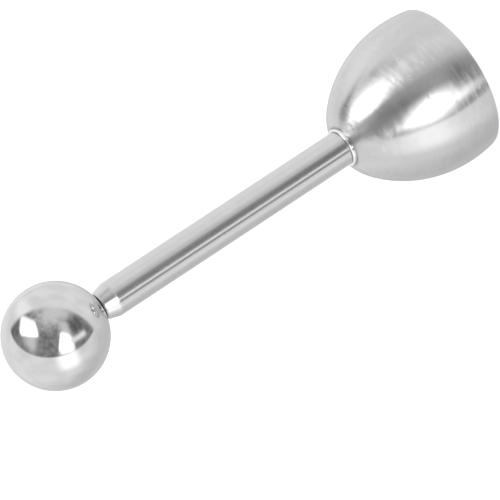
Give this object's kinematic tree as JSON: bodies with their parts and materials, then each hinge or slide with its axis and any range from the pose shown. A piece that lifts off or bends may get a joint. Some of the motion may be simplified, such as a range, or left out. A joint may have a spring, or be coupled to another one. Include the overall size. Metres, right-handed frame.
{
  "type": "egg topper",
  "caption": "Steel egg topper: a bell that sits over the egg, a tube handle, and a sprung ball plunger that is pulled and let go to strike the bell.",
  "frame": {"origin": "centre of the bell's rim, in the plane that the rim stands on", "axes": "+Z along the handle, from the rim to the ball; the object is round about Z"},
  "size_m": [0.0448, 0.0448, 0.1501],
  "materials": {
    "bell_steel": "satin, finely brushed round the axis",
    "polished_steel": "mirror polished stainless steel",
    "tube_steel": "polished, with a faint lengthwise grain",
    "plain_steel": "turned",
    "screw_steel": "bright",
    "spring_steel": "drawn wire",
    "bush_brass": "turned",
    "rod_steel": "ground and polished"
  },
  "bodies": {
    "handle": {"bell": "bell_steel", "bell_collar": "polished_steel", "handle_tube": "tube_steel", "anvil_plug": "plain_steel", "bell_screw": "screw_steel", "lock_washer": "spring_steel", "guide_bush": "bush_brass", "upper_spring_seat": "plain_steel", "return_spring": "spring_steel"},
    "spring_follower": {"lower_spring_seat": "plain_steel"},
    "plunger": {"hammer": "plain_steel", "hammer_lock_nut": "screw_steel", "plunger_rod": "rod_steel", "ball": "polished_steel"}
  },
  "joints": [
    {"name": "plunger_pull", "type": "slide", "parent": "handle", "child": "spring_follower", "axis": [0, 0, 1], "range_m": [0, 0.02], "stiffness_N_per_m": 830, "springref_m": -0.008, "deforming": ["return_spring"]},
    {"name": "plunger_spin", "type": "hinge", "parent": "spring_follower", "child": "plunger", "pos_m": [0, 0, 0.13], "axis": [0, 0, 1], "continuous": true}
  ]
}
